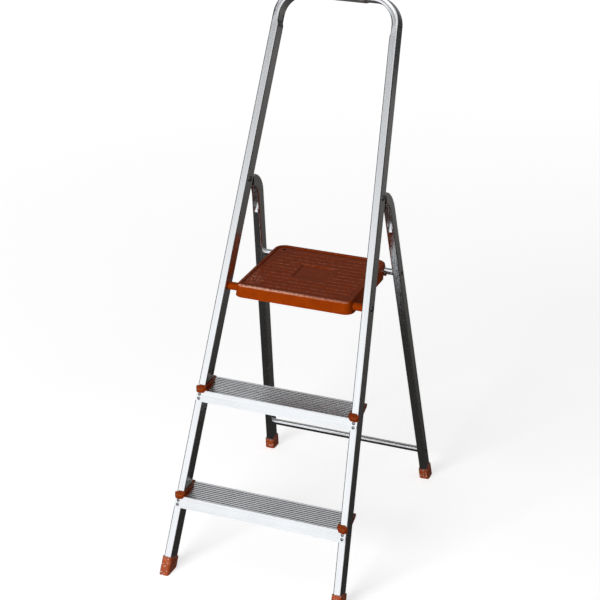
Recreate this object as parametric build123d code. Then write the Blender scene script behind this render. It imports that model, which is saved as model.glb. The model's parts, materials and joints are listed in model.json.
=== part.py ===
from build123d import *
import math
import os

# Folding step ladder with two treads, a platform and a bent handrail.
# Millimetres and degrees. X is to the right of a person facing the steps, Y is to the back, Z is up.

# Front frame: one tube bent into two stiles and the handrail
overall_height = 1253.0
front_lean = 23.4
floor_spacing = 418.0
rail_spacing = 273.0
rail_bend_radius = 58.0
stile_width = 18.0
stile_depth = 38.0
stile_wall = 1.5
stile_corner = 3.0

# Rear legs: tubes bent forward at the top so that their ends meet the stiles squarely
rear_lean = 14.1
hinge_height = 842.0
hook_reach = 33.9
leg_bend_radius = 66.0
leg_turn = 4.33
leg_width = 19.0
leg_depth = 28.0
leg_wall = 1.5
leg_corner = 3.0
fold_spare = 1.2
stile_gap = 0.6

# Hinge between stile and leg: an eye inside the stile on a fixed pin
hinge_pin_radius = 4.0
hinge_head_radius = 6.5
hinge_head_height = 2.0
eye_radius = 10.0
tongue_thickness = 11.0
tongue_height = 16.0
plug_bend = 16.0
plug_clearance = 0.1
slot_clearance = 0.7
running_clearance = 0.05

# Round bars between the rear legs
bar_radius = 7.5
upper_bar_drop = 15.0
lower_bar_height = 84.0
bar_rivet_radius = 3.0
bar_rivet_depth = 14.0
bar_head_radius = 6.0
bar_head_height = 2.4

# Treads: extrusions whose apron and rear lip are parallel to the stiles
lower_tread_height = 172.0
upper_tread_height = 400.0
tread_depth = 75.7
tread_plate = 3.4
tread_lip_height = 16.0
tread_wall = 2.2
tread_web_height = 13.0
apron_height = 24.5
apron_wall = 3.0
apron_corner = 5.0
nose_radius = 3.2
tread_lap = 5.0
groove_pitch = 7.5
groove_width = 3.4
groove_depth = 1.3
groove_margin = 5.5

# Rivets through the apron tabs into the stiles
tread_rivet_radius = 2.4
tread_rivet_gap = 1.3
tread_rivet_edge = 5.5
tread_head_radius = 3.8
tread_head_height = 1.5
tread_tail_height = 3.0

# Plastic liners between treads and stiles
liner_wall = 3.2
liner_back = 4.0
liner_front = 8.0
liner_outer_lip = 2.0
liner_rise = 10.0
liner_bevel = 5.0
liner_lap = 5.0
liner_chamfer = 5.0
liner_drop = 18.0
liner_cap = 8.5
liner_cap_drop = 5.0
liner_flange = 4.0
liner_flange_height = 1.6
liner_end_lap = 2.0

# Platform moulding
platform_height = 632.0
platform_width = 275.0
platform_front_overhang = 21.0
platform_rear_overhang = 26.0
platform_skirt = 29.0
skirt_flare = 5.0
platform_wall = 3.0
platform_plate = 3.5
platform_front_corner = 16.0
platform_rear_corner = 25.0
platform_edge_round = 4.0
rim_width = 8.0
rim_height = 2.5
rib_pitch = 18.0
rib_width = 9.0
rib_height = 0.8
rib_margin = 6.0
recess_width = 76.0
recess_depth = 73.0
recess_drop = 1.5
recess_margin = 4.0
tool_hole_radius = 4.5
stiffener_wall = 2.5
stiffener_height = 13.0
stiffener_count = 4
saddle_width = 13.0
saddle_clearance = 0.4
saddle_flare = 4.0
saddle_front = 24.0
platform_spare = 0.6

# Platform pivots
boss_drop = 16.0
boss_radius = 9.2
boss_depth = 16.0
boss_gap = 0.8
bush_wall = 1.5
platform_pin_radius = 4.0

# Feet
foot_wall = 3.0
foot_sole = 6.0
front_foot_rise = 34.0
rear_foot_rise = 31.0
foot_clearance = 0.1

# Helper shapes
edge_tolerance = 0.01
largest_corner_share = 0.45
slot_step_share = 0.1

# Frame geometry

lean = math.radians(front_lean)
hook_turn = math.radians(90.0 - front_lean - rear_lean)
turn = math.radians(leg_turn)
fold_angle = front_lean + rear_lean - fold_spare
platform_angle = 90.0 - front_lean - platform_spare
fold = math.radians(fold_angle)

back_out = Vector(0, math.cos(lean), -math.sin(lean))
front_plane = Plane(
    origin=(0, stile_depth / 2 / math.cos(lean), 0),
    x_dir=(1, 0, 0),
    z_dir=back_out * -1,
)
rail_top_reach = (
    (stile_width / 2 - stile_corner) * math.cos(lean)
    + (stile_depth / 2 - stile_corner) * math.sin(lean)
    + stile_corner
)
rail_slope = (overall_height - rail_top_reach) / math.cos(lean)
splay = math.atan((floor_spacing - rail_spacing) / 2 / rail_slope)


def slope_at(height):
    """Distance up the front frame's middle plane at a height above the floor."""
    return height / math.cos(lean)


def stile_centre(slope):
    """X of the right stile's centre line at a distance up the slope."""
    return floor_spacing / 2 - slope * math.tan(splay)


def stile_front(height):
    """Y of the stiles' front face at a height above the floor."""
    return height * math.tan(lean)


def on_frame(x, slope, forward=0.0):
    """World point from coordinates in the front frame's middle plane."""
    return front_plane.from_local_coords(Vector(x, slope, forward))


hinge_slope = slope_at(hinge_height)
hinge_point = on_frame(stile_centre(hinge_slope), hinge_slope)
hinge_axis = Axis(hinge_point, (1, 0, 0))
pivot_slope = slope_at(platform_height - boss_drop)
pivot_point = on_frame(stile_centre(pivot_slope), pivot_slope)

leg_plane = Plane(
    origin=hinge_point,
    x_dir=back_out,
    z_dir=(math.cos(turn), math.sin(lean) * math.sin(turn), math.cos(lean) * math.sin(turn)),
)
leg_elbow_reach = hook_reach + leg_bend_radius * math.tan(hook_turn / 2)
leg_elbow = leg_plane.from_local_coords(Vector(leg_elbow_reach, 0, 0))
leg_down = leg_plane.x_dir * math.cos(hook_turn) - leg_plane.y_dir * math.sin(hook_turn)
leg_across = leg_plane.z_dir
leg_back = leg_plane.x_dir * math.sin(hook_turn) + leg_plane.y_dir * math.cos(hook_turn)


def leg_axis_at(height):
    """Point of the right leg's straight centre line at a height above the floor."""
    return leg_elbow + leg_down * ((height - leg_elbow.Z) / leg_down.Z)


upper_bar_point = leg_axis_at(platform_height - upper_bar_drop)
lower_bar_point = leg_axis_at(lower_bar_height)
leg_end_height = foot_sole + abs(leg_back.Z) * leg_depth / 2 + abs(leg_across.Z) * leg_width / 2
boss_start = platform_width / 2 - boss_depth
boss_end = pivot_point.X - stile_width / 2 / math.cos(splay) - boss_gap
boss_length = boss_end - boss_start
boss_centre = Vector((boss_start + boss_end) / 2, pivot_point.Y, pivot_point.Z)

# Shared shapes


def left_of(right_solid):
    """Mirror image of a right-hand piece."""
    return mirror(right_solid, about=Plane.YZ)


def rod(centre, radius, length, direction=(1, 0, 0)):
    """Solid cylinder about a centre point, along X unless another direction is given."""
    return Plane(origin=centre, z_dir=direction).location * Cylinder(radius, length)


def round_section(across, within, corner):
    """Rounded rectangle whose corners stay smaller than its half width."""
    return RectangleRounded(across, within, min(corner, largest_corner_share * min(across, within)))


def tube_solids(path, across, within, corner, wall):
    """Outer solid and bore of a rectangular tube along a flat path in the local XY plane."""
    start = Plane(origin=path @ 0, x_dir=(0, 0, 1), z_dir=path % 0)
    bore_corner = max(corner - wall, wall / 3)
    bore_section = round_section(across - 2 * wall, within - 2 * wall, bore_corner)
    outer = sweep(start * round_section(across, within, corner), path=path)
    bore = sweep(start * bore_section, path=path)
    return outer, bore


def side_solid(height, points, x_from, x_to):
    """Prism along X; points are (distance behind the stiles' front face, rise above the height)."""
    corners = [(stile_front(height + rise) + behind, height + rise) for behind, rise in points]
    face = make_face(Plane.YZ * Polyline(*corners, close=True))
    return Pos(x_from, 0, 0) * extrude(face, amount=x_to - x_from, dir=(1, 0, 0))


def domed_rivet(seat, outward, radius, head_radius, head_height, shank):
    """Rivet with its dome on a seat and its shank running inward from it."""
    ball_radius = (head_radius**2 + head_height**2) / (2 * head_height)
    ball = Pos(0, 0, head_height - ball_radius) * Sphere(ball_radius)
    dome = split(ball, bisect_by=Plane.XY, keep=Keep.TOP)
    stem = Cylinder(radius, shank, align=(Align.CENTER, Align.CENTER, Align.MAX))
    return Plane(origin=seat, z_dir=outward).location * (dome + stem)


def foot_cap(end_plane, width, depth, corner, rise, tube_end):
    """Plastic cap on a tube, cut flat on the floor; local Z runs up the tube from the floor point."""
    outer_section = round_section(width + 2 * foot_wall, depth + 2 * foot_wall, corner + foot_wall)
    hole_section = round_section(
        width + 2 * foot_clearance, depth + 2 * foot_clearance, corner + foot_clearance
    )
    below = depth + 2 * foot_wall
    outer = Pos(0, 0, -below) * extrude(outer_section, amount=rise + below)
    hole = Pos(0, 0, tube_end) * extrude(hole_section, amount=2 * rise)
    return split(end_plane.location * (outer - hole), bisect_by=Plane.XY, keep=Keep.TOP)


# Front frame

tread_front = -apron_wall / math.cos(lean)
tread_back = tread_front + tread_depth
notch_back = stile_depth / math.cos(lean) + liner_back
strip_end = notch_back + liner_flange
stile_floor = on_frame(floor_spacing / 2, 0)
stile_up = (on_frame(rail_spacing / 2, rail_slope) - stile_floor).normalized()
stile_plane = Plane(
    origin=stile_floor,
    x_dir=on_frame(math.cos(splay), math.sin(splay)) - on_frame(0, 0),
    z_dir=stile_up,
)
stile_end_height = (
    foot_sole
    + stile_depth / 2 * math.sin(lean)
    + stile_width / 2 * math.sin(splay) * math.cos(lean)
)
stile_end = stile_end_height / stile_up.Z


def front_tube_solids():
    """Outer solid and bore of the front frame's tube, without holes."""
    end_slope = slope_at(stile_end_height)
    end_x = stile_centre(end_slope)
    path = FilletPolyline(
        (end_x, end_slope),
        (rail_spacing / 2, rail_slope),
        (-rail_spacing / 2, rail_slope),
        (-end_x, end_slope),
        radius=rail_bend_radius,
    )
    outer, bore = tube_solids(path, stile_depth, stile_width, stile_corner, stile_wall)
    return front_plane.location * outer, front_plane.location * bore


def tread_rivet_seats(height):
    """Centres of the two rivets on the right apron tab, on the apron's outer face."""
    upper_drop = liner_lap + tread_head_radius + tread_rivet_gap
    drops = (upper_drop, apron_height - tread_rivet_edge)
    slopes = [slope_at(height - drop) - stile_depth / 2 * math.tan(lean) for drop in drops]
    forward = stile_depth / 2 + apron_wall
    return [on_frame(stile_centre(slope), slope, forward) for slope in slopes]


def hinge_slot():
    """Room in the stile's rear wall for the tongue, open and folded."""
    half_height = tongue_height / 2
    top = half_height + slot_clearance
    reach = stile_depth / 2
    bottom = reach * math.tan(fold) + half_height / math.cos(fold) + slot_clearance
    slot = Box(
        tongue_thickness + 2 * slot_clearance,
        top + bottom,
        stile_depth / 2,
        align=(Align.CENTER, Align.MAX, Align.MAX),
    )
    place = Pos(stile_centre(hinge_slope), hinge_slope + top, -stile_depth / 4)
    return front_plane.location * place * slot


def front_frame_tube(outer, bore):
    """Two stiles and the handrail, with the holes for rivets and pins."""
    cuts = [
        hinge_slot(),
        rod(hinge_point, hinge_pin_radius, 2 * stile_width),
        rod(pivot_point, platform_pin_radius, 2 * stile_width),
    ]
    for height in (lower_tread_height, upper_tread_height):
        for seat in tread_rivet_seats(height):
            cuts.append(rod(seat, tread_rivet_radius, stile_depth, back_out))
    tube = outer - bore
    for cut in cuts:
        tube = tube - cut - left_of(cut)
    return tube


def stile_inner(height):
    """X of the right stile's inner face at a height above the floor."""
    return stile_centre(slope_at(height)) - stile_width / 2


def tread_half_length(height):
    """Half the length of a tread's apron: its ends are flush with the stiles' outer faces."""
    return stile_centre(slope_at(height)) + stile_width / 2 / math.cos(splay)


def tread(height):
    """Ribbed tread with apron, rear lip and webs, notched at both ends for stile and liner."""
    half = tread_half_length(height)

    def slab(y_from, y_to, low, high, x_from=-half, x_to=half):
        points = ((y_from, low), (y_to, low), (y_to, high), (y_from, high))
        return side_solid(height, points, x_from, x_to)

    body = slab(tread_front, tread_back, -tread_plate, 0)
    body += slab(tread_front, 0, -apron_height, 0)
    body += slab(tread_back - tread_wall, tread_back, -tread_lip_height, 0)
    for place in (notch_back / 2, notch_back):
        body += slab(place, place + tread_wall, -tread_web_height, 0)
    nose = body.edges().filter_by(Axis.X).group_by(Axis.Z)[-1].sort_by(Axis.Y)[0]
    body = fillet(nose, nose_radius)
    grooves = int((tread_depth - 2 * groove_margin - groove_width) / groove_pitch) + 1
    for index in range(grooves):
        start = tread_front + groove_margin + index * groove_pitch
        body -= slab(start, start + groove_width, -groove_depth, groove_depth)

    reach = 2 * apron_height
    notch_inner = stile_inner(height) - liner_wall
    notch = slab(0, notch_back, -reach, reach, notch_inner, 2 * half)
    notch += slab(notch_back, 2 * tread_back, -reach, reach, stile_inner(height) + tread_lap, 2 * half)
    body = body - notch - left_of(notch)
    for seat in tread_rivet_seats(height):
        hole = rod(seat, tread_rivet_radius, 4 * apron_wall, back_out)
        body = body - hole - left_of(hole)
    tab_corners = body.edges().filter_by(lambda edge: is_tab_corner(edge, height, half))
    return fillet(tab_corners, apron_corner)


def is_tab_corner(edge, height, half):
    """True for the short edges through the apron at its two lower corners."""
    middle = edge.center()
    at_end = abs(abs(middle.X) - half) < edge_tolerance
    at_bottom = abs(middle.Z - (height - apron_height)) < edge_tolerance
    return at_end and at_bottom


def liner_plan(height):
    """Plan of the liner on the tread: its free edge runs round the stile's front, side and back."""
    inner = stile_inner(height)
    wall = inner - liner_wall
    outer = inner + stile_width + liner_outer_lip
    cap_outer = inner + tread_lap + liner_cap
    end_lap = inner + tread_lap - liner_end_lap
    front_middle = inner + stile_width / 2
    points = (
        (front_middle, -liner_front),
        (wall - liner_flange / 4, tread_front / 2),
        (wall - liner_flange, strip_end / 2),
        (wall, strip_end),
        (end_lap, strip_end),
        (end_lap, tread_back),
        (cap_outer, tread_back),
        (cap_outer, 0),
        (outer, 0),
        (outer, -liner_front + liner_chamfer),
        (outer - liner_chamfer, -liner_front),
    )
    corners = [(across, stile_front(height) + behind) for across, behind in points]
    free_edge = Spline(*corners[:4])
    return make_face(free_edge + Polyline(*corners[3:], corners[0]))


def tread_liner(height, stile_outer, tread_solid):
    """Right-hand liner: block in front of the stile, strip beside it, cap on the tread's end."""
    inner = stile_inner(height)
    notch_inner = inner - liner_wall
    stile_back = stile_depth / math.cos(lean)
    cap_outer = inner + tread_lap + liner_cap
    front_points = (
        (-liner_front, -liner_lap),
        (0, -liner_lap),
        (0, liner_rise),
        (-liner_front + liner_bevel, liner_rise),
        (-liner_front, liner_rise - liner_bevel),
    )
    strip_points = (
        (0, -liner_drop),
        (strip_end, -liner_drop),
        (strip_end, liner_rise - liner_bevel),
        (strip_end - liner_bevel, liner_rise),
        (0, liner_rise),
    )
    wall_points = (
        (stile_back, -liner_drop),
        (notch_back, -liner_drop),
        (notch_back, liner_flange_height),
        (stile_back, liner_flange_height),
    )
    cap_points = (
        (notch_back, -liner_drop),
        (tread_back, -liner_cap_drop),
        (tread_back, liner_flange_height),
        (notch_back, liner_flange_height),
    )
    plan = Pos(0, 0, height - liner_lap) * liner_plan(height)
    block = side_solid(height, front_points, notch_inner, inner + stile_width + liner_outer_lip)
    liner = block & extrude(plan, amount=liner_lap + liner_rise)
    liner += side_solid(height, strip_points, notch_inner, inner)
    liner += side_solid(height, wall_points, notch_inner, cap_outer)
    liner += side_solid(height, cap_points, inner + tread_lap, cap_outer)
    liner += Pos(0, 0, height) * extrude(liner_plan(height), amount=liner_flange_height)
    return liner - stile_outer - tread_solid


def tread_rivets(height):
    """The four rivets that hold one tread, each with a tail formed inside the stile."""
    grip = apron_wall + stile_wall
    tail_radius = (tread_rivet_radius + tread_head_radius) / 2
    right = []
    for seat in tread_rivet_seats(height):
        rivet = domed_rivet(
            seat, back_out * -1, tread_rivet_radius, tread_head_radius, tread_head_height, grip
        )
        tail_middle = seat + back_out * (grip + tread_tail_height / 2)
        right.append(rivet + rod(tail_middle, tail_radius, tread_tail_height, back_out))
    return Compound(right + [left_of(rivet) for rivet in right])


def hinge_pin(stile_outer):
    """Right hinge pin with a flat head against each side of the stile."""
    span = stile_width + 2 * hinge_head_height
    heads = rod(hinge_point, hinge_head_radius, span) - stile_outer
    return heads + rod(hinge_point, hinge_pin_radius, span)


def platform_pin(stile_outer):
    """Right platform pin: head outside the stile, shank into the platform's boss."""
    outer_end = pivot_point.X + stile_width / 2 + hinge_head_height
    middle = Vector((outer_end + boss_start) / 2, pivot_point.Y, pivot_point.Z)
    shank = rod(middle, platform_pin_radius, outer_end - boss_start)
    head_length = outer_end - pivot_point.X
    head_centre = pivot_point + Vector(head_length / 2, 0, 0)
    return shank + (rod(head_centre, hinge_head_radius, head_length) - stile_outer)


# Rear frame


def leg_solids():
    """Outer solid and bore of the right leg's tube, before its hook end is mitred."""
    end = leg_plane.to_local_coords(leg_axis_at(leg_end_height))
    path = FilletPolyline((0, 0), (leg_elbow_reach, 0), (end.X, end.Y), radius=leg_bend_radius)
    outer, bore = tube_solids(path, leg_width, leg_depth, leg_corner, leg_wall)
    return leg_plane.location * outer, leg_plane.location * bore


def stile_clearance():
    """Space that the hook's end keeps clear: the stile as it stands, and as it meets the folded leg."""
    reach = stile_depth / 2 + stile_gap
    block = Box(
        4 * stile_width,
        4 * stile_depth,
        2 * stile_depth,
        align=(Align.CENTER, Align.CENTER, Align.MIN),
    )
    place = Pos(stile_centre(hinge_slope), hinge_slope, -reach)
    standing = front_plane.location * place * block
    return standing + standing.rotate(hinge_axis, fold_angle)


def bar_rivet_seat(point):
    """Point on the right leg's outer face beside a bar's centre."""
    return point + leg_across * (leg_width / 2)


def bar_rivet_hole(point):
    """Hole for a bar's rivet through the leg and into the bar's end."""
    length = leg_width + bar_rivet_depth
    middle = bar_rivet_seat(point) - leg_across * (length / 2)
    return rod(middle, bar_rivet_radius, length, leg_across)


def rear_leg(outer, bore):
    """Right leg tube with its mitred hook end and its rivet holes."""
    leg = outer - bore - stile_clearance()
    for point in (upper_bar_point, lower_bar_point):
        leg -= bar_rivet_hole(point)
    return leg


def hinge_eye():
    """Right hinge eye: plug in the hook, tongue through the stile's slot, eye on the pin."""
    plug_path = Line((0, 0), (hook_reach, 0)) + CenterArc(
        (hook_reach, -leg_bend_radius), leg_bend_radius, 90.0, -plug_bend
    )
    start = Plane(origin=(0, 0, 0), x_dir=(0, 0, 1), z_dir=(1, 0, 0))
    inset = 2 * (leg_wall + plug_clearance)
    section = round_section(leg_width - inset, leg_depth - inset, leg_corner - leg_wall)
    plug = leg_plane.location * sweep(start * section, path=plug_path)
    plug -= stile_clearance()
    tongue = Box(
        tongue_thickness,
        tongue_height,
        hook_reach,
        align=(Align.CENTER, Align.CENTER, Align.MAX),
    )
    place = Pos(stile_centre(hinge_slope), hinge_slope, 0)
    eye = rod(hinge_point, eye_radius, tongue_thickness)
    body = plug + front_plane.location * place * tongue + eye
    return body - rod(hinge_point, hinge_pin_radius + running_clearance, 2 * stile_width)


def rear_bar(point, leg_outer):
    """Round bar between the legs, its ends cut to the legs' inner faces."""
    bar = rod(Vector(0, point.Y, point.Z), bar_radius, 2 * point.X)
    hole = bar_rivet_hole(point)
    return bar - leg_outer - left_of(leg_outer) - hole - left_of(hole)


def bar_rivets(point):
    """The pair of rivets that hold one bar."""
    right = domed_rivet(
        bar_rivet_seat(point),
        leg_across,
        bar_rivet_radius,
        bar_head_radius,
        bar_head_height,
        leg_width + bar_rivet_depth,
    )
    return Compound([right, left_of(right)])


# Platform


def turned(point, centre, angle):
    """Point turned about the line along X through a centre."""
    return centre + (point - centre).rotate(Axis.X, angle)


def bar_in_platform(share):
    """Upper bar's centre as the platform sees it, at a share of the whole fold."""
    bar = turned(upper_bar_point, hinge_point, -fold_angle * share)
    seen = turned(bar, pivot_point, -platform_angle * share)
    return Vector(0, seen.Y, seen.Z)


def saddle_slot():
    """Slot through which the upper bar leaves the platform, down and to the front."""
    seat = bar_in_platform(0)
    leaving = (bar_in_platform(slot_step_share) - seat).normalized()
    sideways = Vector(0, -leaving.Z, leaving.Y)
    seat_half = bar_radius + saddle_clearance
    mouth_half = seat_half + saddle_flare
    mouth = seat + leaving * (2 * platform_skirt)
    corners = (
        seat + sideways * seat_half,
        seat - sideways * seat_half,
        mouth - sideways * mouth_half,
        mouth + sideways * mouth_half,
    )
    face = make_face(Polyline(*corners, close=True))
    slot = extrude(face, amount=platform_width, dir=(1, 0, 0), both=True)
    return slot + rod(seat, seat_half, 2 * platform_width)


def platform_outline(inset=0.0):
    """Plan of the platform as a sketch on its top plane, drawn in by an inset."""
    front = pivot_point.Y - platform_front_overhang + inset
    back = upper_bar_point.Y + platform_rear_overhang - inset
    half = platform_width / 2 - inset
    plan = Pos(0, (front + back) / 2) * Rectangle(2 * half, back - front)
    front_corners = plan.vertices().group_by(Axis.Y)[0]
    plan = fillet(front_corners, platform_front_corner - inset)
    rear_corners = plan.vertices().group_by(Axis.Y)[-1]
    return fillet(rear_corners, platform_rear_corner - inset)


def layer(sketch, low, high):
    """Prism of a plan sketch between two rises above the platform's top plane."""
    return Pos(0, 0, platform_height + low) * extrude(sketch, amount=high - low)


def flared_body(inset, high, low=-platform_skirt):
    """Solid under the platform's top plane whose plan widens downwards, drawn in by an inset."""
    outset = -low / platform_skirt * skirt_flare
    draft = math.degrees(math.atan(skirt_flare / platform_skirt))
    prism = extrude(platform_outline(inset - outset), amount=high - low, taper=draft)
    return Pos(0, 0, platform_height + low) * prism


def platform_ribs(front, back, half, middle):
    """Plan of the ribs along X on the platform's field, left off round the recess."""
    count = int((back - front) / rib_pitch)
    start = (front + back) / 2 - (count - 1) * rib_pitch / 2
    ribs = Sketch()
    for index in range(count):
        ribs += Pos(0, start + index * rib_pitch) * Rectangle(2 * half, rib_width)
    bare = Rectangle(recess_width + 2 * recess_margin, recess_depth + 2 * recess_margin)
    return ribs - Pos(0, middle) * bare


def platform():
    """Tray with rim, ribs and recess on top, skirt and stiffeners below, bosses and saddles."""
    front = pivot_point.Y - platform_front_overhang
    back = upper_bar_point.Y + platform_rear_overhang
    middle = (front + back) / 2
    half = platform_width / 2
    field_margin = rim_width + rib_margin
    underside = -rim_height - platform_plate

    body = flared_body(0, 0)
    body = fillet(body.faces().sort_by(Axis.Z)[-1].edges(), platform_edge_round)
    body -= layer(platform_outline(rim_width), -rim_height, rim_height)
    body -= flared_body(platform_wall, underside, -2 * platform_skirt)
    ribs = platform_ribs(front + field_margin, back - field_margin, half - field_margin, middle)
    body += layer(ribs, -rim_height, rib_height - rim_height)
    recess = Pos(0, middle) * RectangleRounded(recess_width, recess_depth, 2 * rib_height)
    body -= layer(recess, -rim_height - recess_drop, rim_height)

    width_below = 2 * (half + skirt_flare)
    length_below = back - front + 2 * skirt_flare
    stiffeners = Sketch()
    for index in range(stiffener_count):
        share = (index + 1) / (stiffener_count + 1)
        across = Pos(0, front + share * (back - front)) * Rectangle(width_below, stiffener_wall)
        along = Pos(-half + 2 * half * share, middle) * Rectangle(stiffener_wall, length_below)
        stiffeners += across
        stiffeners += along
    inside_skirt = flared_body(platform_wall / 2, underside)
    body += layer(stiffeners, underside - stiffener_height, underside) & inside_skirt

    saddle_length = platform_rear_overhang + saddle_front
    saddle_middle = upper_bar_point.Y + (platform_rear_overhang - saddle_front) / 2
    saddle_centre = half + (skirt_flare - saddle_width) / 2
    saddle = Pos(saddle_centre, saddle_middle) * Rectangle(saddle_width + skirt_flare, saddle_length)
    saddle_block = layer(saddle, -platform_skirt, underside) & inside_skirt
    body += saddle_block + left_of(saddle_block)
    body -= saddle_slot()

    boss = rod(boss_centre, boss_radius, boss_length)
    body += boss + left_of(boss)
    bore = rod(boss_centre, platform_pin_radius + bush_wall, boss_length)
    body = body - bore - left_of(bore)

    hole_x = half - platform_rear_corner
    hole_y = back - platform_rear_corner
    for side in (-1, 1):
        hole = Pos(side * hole_x, hole_y) * Circle(tool_hole_radius)
        body -= layer(hole, -2 * rim_height - platform_plate, rim_height)
    return body


def boss_bush():
    """Right plain bearing in the platform's boss, running on the platform pin."""
    outer = rod(boss_centre, platform_pin_radius + bush_wall, boss_length)
    return outer - rod(boss_centre, platform_pin_radius + running_clearance, 2 * boss_length)


# Assembly

stile_outer, stile_bore = front_tube_solids()
leg_outer, leg_bore = leg_solids()
lower_tread = tread(lower_tread_height)
upper_tread = tread(upper_tread_height)
leg_floor = leg_axis_at(0)
leg_end_plane = Plane(origin=leg_floor, x_dir=leg_across, z_dir=leg_down * -1)
leg_end = leg_end_height / abs(leg_down.Z)

single_pieces = {
    "front_frame_tube": front_frame_tube(stile_outer, stile_bore),
    "lower_tread": lower_tread,
    "upper_tread": upper_tread,
    "lower_tread_rivets": tread_rivets(lower_tread_height),
    "upper_tread_rivets": tread_rivets(upper_tread_height),
    "upper_rear_bar": rear_bar(upper_bar_point, leg_outer),
    "lower_rear_bar": rear_bar(lower_bar_point, leg_outer),
    "upper_bar_rivets": bar_rivets(upper_bar_point),
    "lower_bar_rivets": bar_rivets(lower_bar_point),
    "platform": platform(),
}
right_pieces = {
    "lower_tread_liner": tread_liner(lower_tread_height, stile_outer, lower_tread),
    "upper_tread_liner": tread_liner(upper_tread_height, stile_outer, upper_tread),
    "front_foot": foot_cap(
        stile_plane, stile_width, stile_depth, stile_corner, front_foot_rise, stile_end
    ),
    "hinge_pin": hinge_pin(stile_outer),
    "platform_pin": platform_pin(stile_outer),
    "rear_leg": rear_leg(leg_outer, leg_bore),
    "hinge_eye": hinge_eye(),
    "rear_foot": foot_cap(leg_end_plane, leg_width, leg_depth, leg_corner, rear_foot_rise, leg_end),
    "boss_bush": boss_bush(),
}
pieces = dict(single_pieces)
for name, solid in right_pieces.items():
    pieces["right_" + name] = solid
    pieces["left_" + name] = left_of(solid)

# The origin lies on the floor in the middle of the ladder's depth
front_toe = right_pieces["front_foot"].bounding_box().min.Y
rear_heel = right_pieces["rear_foot"].bounding_box().max.Y
to_origin = Pos(0, -(front_toe + rear_heel) / 2, 0)

os.makedirs("parts", exist_ok=True)
for name, solid in pieces.items():
    export_step(to_origin * solid, "parts/" + name + ".step")

for label, point in (("hinge", hinge_point), ("pivot", pivot_point), ("upper bar", upper_bar_point)):
    print(label, to_origin.position + point)
print("fold", -fold_angle, "platform", platform_angle, "ratio", -platform_angle / fold_angle)
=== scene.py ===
# %% [markdown]
# A folding step ladder: a bent aluminium tube in front, two legs behind it, ribbed treads, and rust
# brown plastic for the platform, the feet and the tread liners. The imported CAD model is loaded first.
# It says where every solid sits, so nothing here is placed by eye.

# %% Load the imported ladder
import json
import math

import bpy
import numpy as np
from mathutils import Matrix, Vector


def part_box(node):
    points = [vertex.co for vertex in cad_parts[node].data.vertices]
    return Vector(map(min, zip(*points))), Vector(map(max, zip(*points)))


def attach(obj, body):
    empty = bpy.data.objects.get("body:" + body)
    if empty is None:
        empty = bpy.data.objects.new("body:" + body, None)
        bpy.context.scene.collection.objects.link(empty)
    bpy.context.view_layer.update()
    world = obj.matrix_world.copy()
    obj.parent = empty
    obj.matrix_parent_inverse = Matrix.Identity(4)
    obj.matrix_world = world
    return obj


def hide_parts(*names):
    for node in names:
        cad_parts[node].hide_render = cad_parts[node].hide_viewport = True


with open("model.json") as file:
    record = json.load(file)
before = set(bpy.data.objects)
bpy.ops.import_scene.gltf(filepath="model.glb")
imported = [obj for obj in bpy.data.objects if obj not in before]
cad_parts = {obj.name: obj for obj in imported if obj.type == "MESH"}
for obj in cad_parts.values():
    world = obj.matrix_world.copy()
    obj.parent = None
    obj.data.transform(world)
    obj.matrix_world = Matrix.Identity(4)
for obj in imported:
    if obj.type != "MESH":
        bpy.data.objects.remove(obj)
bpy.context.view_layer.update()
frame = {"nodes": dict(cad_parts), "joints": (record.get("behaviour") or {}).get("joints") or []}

scene = bpy.context.scene
joints = {joint["name"]: joint for joint in frame["joints"]}

# %% [markdown]
# The camera stands in front of the ladder, to its right and above it. A long lens from nearly four
# metres keeps the stiles almost parallel, as a product photographer would. A constraint could aim the
# camera, but three columns of a matrix say where its right, up and back point, and a small roll is
# then no trouble.

# %% Camera
PICTURE_PIXELS = 600
FOCAL_PIXELS = 1736.8
SENSOR_MM = 36.0
camera_azimuth = math.radians(21.591)
camera_elevation = math.radians(24.616)
camera_roll = math.radians(0.172)
camera_place = Vector((1.3157, -3.3437, 2.2337))
straight_up = Vector((0.0, 0.0, 1.0))

camera_data = bpy.data.cameras.new("studio_camera")
camera_data.sensor_width = SENSOR_MM
camera_data.lens = FOCAL_PIXELS / PICTURE_PIXELS * SENSOR_MM
camera = bpy.data.objects.new("studio_camera", camera_data)
scene.collection.objects.link(camera)
look = Vector((
    -math.sin(camera_azimuth) * math.cos(camera_elevation),
    math.cos(camera_azimuth) * math.cos(camera_elevation),
    -math.sin(camera_elevation),
))
level_right = look.cross(straight_up).normalized()
level_up = level_right.cross(look)
right = level_right * math.cos(camera_roll) + level_up * math.sin(camera_roll)
up = level_up * math.cos(camera_roll) - level_right * math.sin(camera_roll)
turn = Matrix((right, up, -look)).transposed()
camera.matrix_world = Matrix.Translation(camera_place) @ turn.to_4x4()
scene.camera = camera
print("lens", round(camera_data.lens, 1), "mm")

# %% [markdown]
# Every finish below is a small graph of shader nodes. Nodes can be joined by hand in the editor. Here a
# few helpers make one kind of node each, so that a finish reads like a recipe.

# %% Node helpers
WHITE = (1.0, 1.0, 1.0, 1.0)


def new_material(name):
    """Empty node material, with its tree and its output node."""
    material = bpy.data.materials.new(name)
    material.use_nodes = True
    material.node_tree.nodes.clear()
    output = material.node_tree.nodes.new("ShaderNodeOutputMaterial")
    return material, material.node_tree, output


def add_node(tree, kind, links=None, **settings):
    """Node of a kind; settings are its properties, and links go into its inputs by name or number."""
    node = tree.nodes.new("ShaderNode" + kind)
    for key, value in settings.items():
        setattr(node, key, value)
    for key, value in (links or {}).items():
        socket = node.inputs[key]
        if isinstance(value, bpy.types.NodeSocket):
            tree.links.new(value, socket)
        else:
            socket.default_value = value
    return node


def compute(tree, operation, *values):
    """Result of one arithmetic node on one or two values."""
    return add_node(tree, "Math", dict(enumerate(values)), operation=operation).outputs[0]


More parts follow.
